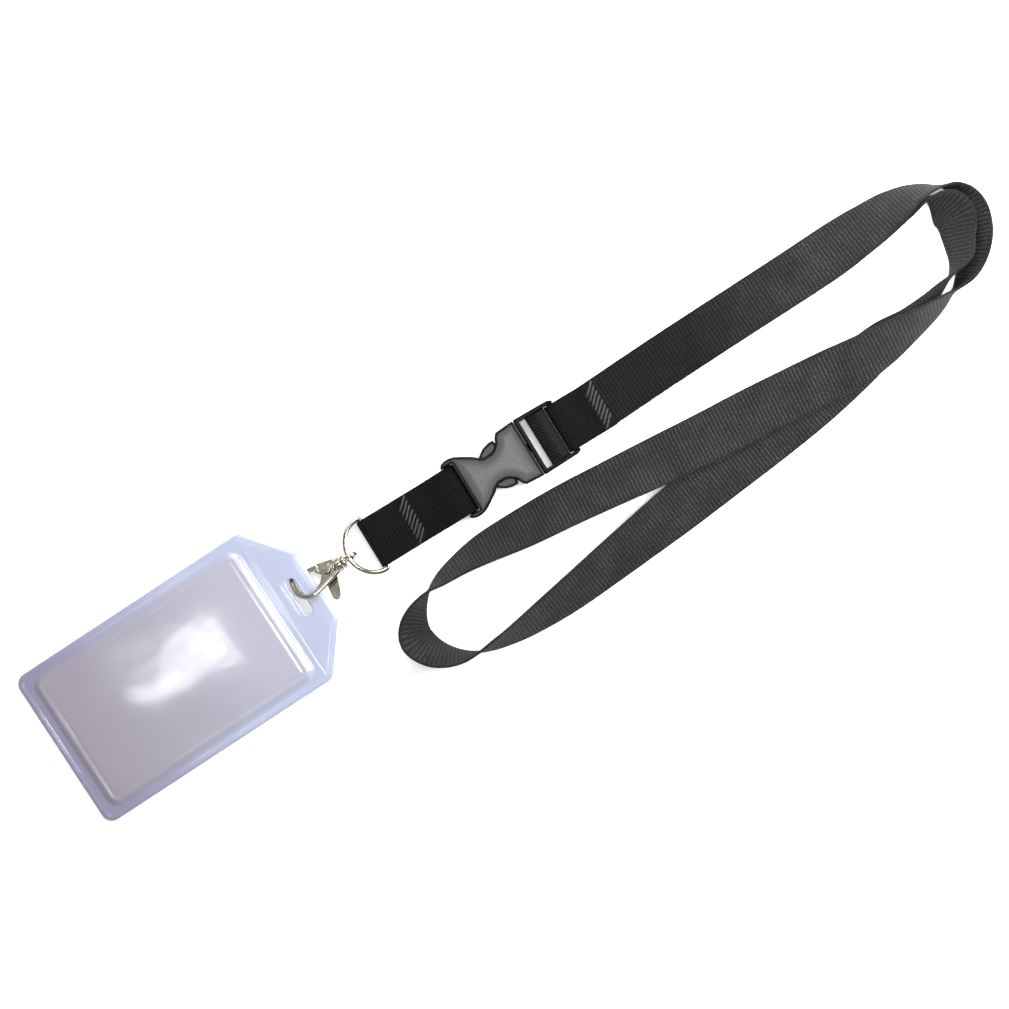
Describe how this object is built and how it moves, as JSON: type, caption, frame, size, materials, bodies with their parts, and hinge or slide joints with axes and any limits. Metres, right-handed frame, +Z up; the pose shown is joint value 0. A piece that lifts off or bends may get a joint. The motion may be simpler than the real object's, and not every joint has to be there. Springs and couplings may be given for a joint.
{
  "type": "lanyard badge holder",
  "caption": "Flat webbing neck lanyard with a side-release buckle, D-ring and swivel trigger hook carrying a clear slotted card holder.",
  "frame": {"origin": "centre of the buckle socket's flat underside, where it rests on the table", "axes": "+X from the card holder towards the buckle plug, along the strap as it lies; +Z up, off the table"},
  "size_m": [0.4116, 0.0934, 0.0202],
  "materials": {
    "webbing": "woven polyester, charcoal black, cross-ribbed",
    "thread": "bonded polyester sewing thread",
    "acetal": "injection-moulded acetal, fine spark texture on the flats, gloss on the edges",
    "nickel": "nickel-plated zinc casting and steel wire",
    "spring_steel": "drawn spring wire",
    "clear_vinyl": "soft clear vinyl with a faint lavender cast"
  },
  "bodies": {
    "neck_lanyard": {"neck_strap": "webbing", "neck_strap_stitching": "thread", "buckle_plug": "acetal"},
    "latch_arm_left": {"plug_arm_left": "acetal"},
    "latch_arm_right": {"plug_arm_right": "acetal"},
    "socket_end": {"buckle_socket": "acetal", "end_strap": "webbing", "end_strap_stitching": "thread"},
    "ring": {"d_ring": "nickel"},
    "eye": {"swivel_eye": "nickel"},
    "hook": {"hook_body": "nickel", "hook_rivet": "nickel", "gate_spring": "spring_steel"},
    "gate": {"gate_lever": "nickel"},
    "holder": {"badge_back_sheet": "clear_vinyl", "badge_front_sheet": "clear_vinyl"}
  },
  "joints": [
    {"name": "latch_arm_left_press", "type": "hinge", "parent": "neck_lanyard", "child": "latch_arm_left", "pos_m": [0.0154, 0.0063, 0.0045], "axis": [0, 0, 1], "range_deg": [0, 9], "stiffness_Nm_per_rad": 0.02},
    {"name": "latch_arm_right_press", "type": "hinge", "parent": "neck_lanyard", "child": "latch_arm_right", "pos_m": [0.0154, -0.0063, 0.0045], "axis": [0, 0, -1], "range_deg": [0, 9], "stiffness_Nm_per_rad": 0.02},
    {"name": "buckle_release", "type": "slide", "parent": "neck_lanyard", "child": "socket_end", "axis": [-1, 0, 0], "range_m": [0, 0.028], "deforming": ["plug_arm_left", "plug_arm_right"]},
    {"name": "d_ring_swing", "type": "hinge", "parent": "socket_end", "child": "ring", "pos_m": [-0.0524, 0, 0.0023], "axis": [0, 1, 0], "range_deg": [-60, 60]},
    {"name": "hook_tilt", "type": "hinge", "parent": "ring", "child": "eye", "pos_m": [-0.06366, 0, 0.0051], "axis": [0, 1, 0], "range_deg": [-45, 45]},
    {"name": "hook_swivel", "type": "hinge", "parent": "eye", "child": "hook", "pos_m": [-0.0673, 0, 0.0052], "axis": [1, 0, 0], "continuous": true},
    {"name": "gate_press", "type": "hinge", "parent": "hook", "child": "gate", "pos_m": [-0.0733, 0, 0.0052], "axis": [0, 0.454, 0.891], "range_deg": [0, 18], "stiffness_Nm_per_rad": 0.01, "springref_deg": -11.46},
    {"name": "badge_swing", "type": "hinge", "parent": "hook", "child": "holder", "pos_m": [-0.0876, 0, 0.0052], "axis": [-0.0418, -0.0013, 0.9991], "range_deg": [-5, 8]}
  ]
}
